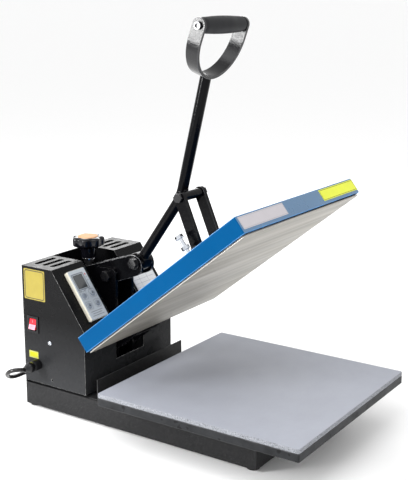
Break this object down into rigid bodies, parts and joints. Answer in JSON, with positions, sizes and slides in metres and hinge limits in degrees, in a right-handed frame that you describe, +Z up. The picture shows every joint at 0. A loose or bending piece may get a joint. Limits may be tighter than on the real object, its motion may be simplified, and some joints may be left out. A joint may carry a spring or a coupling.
{
  "type": "heat press",
  "caption": "Clamshell heat press: square lower pad, swing-up heated upper platen, over-centre lever with D handle, pressure knob and two-tower control housing.",
  "frame": {"origin": "middle of the object's footprint on the floor, without the mains lead", "axes": "+Z up, +X to the operator's right, the operator stands at -Y"},
  "size_m": [0.382, 0.7266, 0.7027],
  "materials": {
    "base_paint": "satin powder coat",
    "housing_paint": "fine textured powder coat",
    "black_gloss": "glossy black paint",
    "blue_cover": "smooth blue paint",
    "rubber_black": "matt",
    "lower_plate": "satin",
    "silicone_grey": "matt silicone foam",
    "heating_aluminium": "brushed and coated",
    "zinc": "bright zinc",
    "steel_dark": "blackened",
    "knob_black": "glossy",
    "knob_cap": "satin",
    "chrome": "polished",
    "grip_rubber": "matt",
    "controller_cream": "satin",
    "controller_silver": "satin film",
    "display": "glossy",
    "key_grey": "satin",
    "lamp_red": "glossy",
    "rocker_red": "glossy",
    "plastic_black": "satin",
    "cord_black": "glossy",
    "label_film": "satin film",
    "chart_film": "satin film",
    "insulation": "fibre board",
    "element": "oxidised",
    "board": "matt",
    "terminal": "matt"
  },
  "bodies": {
    "frame": {"base_frame": "base_paint", "rubber_feet": "rubber_black", "support_rails": "base_paint", "lower_plate": "lower_plate", "silicone_pad": "silicone_grey", "heat_shield": "housing_paint", "housing_shell": "housing_paint", "rear_panel": "housing_paint", "housing_screws": "zinc", "sheet_screws": "steel_dark", "upright_left": "black_gloss", "upright_right": "black_gloss", "upright_screws": "zinc", "hinge_pin": "steel_dark", "arm_pivot_bolt": "steel_dark", "screw_rest": "black_gloss", "controller_body": "controller_cream", "controller_face": "controller_silver", "display_window": "display", "status_lamp": "lamp_red", "switch_frame": "plastic_black", "cable_gland": "plastic_black", "strain_relief": "rubber_black", "mains_cord": "cord_black", "cord_coil": "cord_black", "mains_plug": "plastic_black", "side_labels": "label_film", "chart_label": "chart_film", "relay_block": "board", "terminal_block": "terminal"},
    "platen": {"platen_cover": "blue_cover", "heating_plate": "heating_aluminium", "heating_element": "element", "insulation_board": "insulation", "hinge_arms": "black_gloss", "platen_bracket": "black_gloss", "bracket_bolts": "zinc", "platen_bolt": "zinc", "cover_labels": "label_film"},
    "arm": {"pressure_arm": "black_gloss"},
    "knob": {"pressure_screw": "steel_dark", "pressure_knob": "knob_black", "knob_cap": "knob_cap", "knob_washer": "chrome"},
    "lever": {"lever_pivot_bolt": "steel_dark", "lever_tube": "black_gloss", "lever_hub": "black_gloss", "knee_tube": "black_gloss", "knee_bolt": "black_gloss", "handle_bow": "black_gloss", "grip_bolt": "steel_dark"},
    "links": {"link_left": "black_gloss", "link_right": "black_gloss", "link_end_bolts": "black_gloss"},
    "grip": {"handle_grip": "grip_rubber"},
    "rocker": {"switch_rocker": "rocker_red"},
    "key_a": {"key_set": "key_grey"},
    "key_b": {"key_down": "key_grey"},
    "key_c": {"key_up": "key_grey"},
    "key_d": {"key_menu": "key_grey"}
  },
  "joints": [
    {"name": "platen_hinge", "type": "hinge", "parent": "frame", "child": "platen", "pos_m": [0, 0.1813, 0.1055], "axis": [1, 0, 0], "range_deg": [0, 38.7]},
    {"name": "lever_pivot", "type": "hinge", "parent": "frame", "child": "lever", "pos_m": [0, 0.1303, 0.27], "axis": [1, 0, 0], "range_deg": [0, 77.95]},
    {"name": "link_pivot", "type": "hinge", "parent": "lever", "child": "links", "pos_m": [0, 0.0213, 0.4035], "axis": [1, 0, 0], "range_deg": [-117.85, 0]},
    {"name": "pressure_knob_turn", "type": "hinge", "parent": "frame", "child": "knob", "pos_m": [0, 0.2523, 0.284], "axis": [0, 0, 1], "range_deg": [-360, 360]},
    {"name": "pressure_arm_tilt", "type": "hinge", "parent": "frame", "child": "arm", "pos_m": [0, 0.1873, 0.24], "axis": [1, 0, 0], "range_deg": [-1.6, 1.6]},
    {"name": "grip_spin", "type": "hinge", "parent": "lever", "child": "grip", "pos_m": [0, -0.03965, 0.68822], "axis": [1, 0, 0], "continuous": true},
    {"name": "power_switch", "type": "hinge", "parent": "frame", "child": "rocker", "pos_m": [-0.1266, 0.2763, 0.159], "axis": [0, -1, 0], "range_deg": [0, 24]},
    {"name": "key_set_press", "type": "slide", "parent": "frame", "child": "key_a", "axis": [0, 0.8158, -0.5784], "range_m": [0, 0.0008], "stiffness_N_per_m": 400, "springref_m": -0.0008},
    {"name": "key_down_press", "type": "slide", "parent": "frame", "child": "key_b", "axis": [0, 0.8158, -0.5784], "range_m": [0, 0.0008], "stiffness_N_per_m": 400, "springref_m": -0.0008},
    {"name": "key_up_press", "type": "slide", "parent": "frame", "child": "key_c", "axis": [0, 0.8158, -0.5784], "range_m": [0, 0.0008], "stiffness_N_per_m": 400, "springref_m": -0.0008},
    {"name": "key_menu_press", "type": "slide", "parent": "frame", "child": "key_d", "axis": [0, 0.8158, -0.5784], "range_m": [0, 0.0008], "stiffness_N_per_m": 400, "springref_m": -0.0008}
  ],
  "couplings": [
    {"joint": "lever_pivot", "follows": "platen_hinge", "ratio": 2.0129},
    {"joint": "link_pivot", "follows": "platen_hinge", "ratio": -3.0439},
    {"joint": "pressure_arm_tilt", "follows": "pressure_knob_turn", "ratio": -0.0042778}
  ]
}
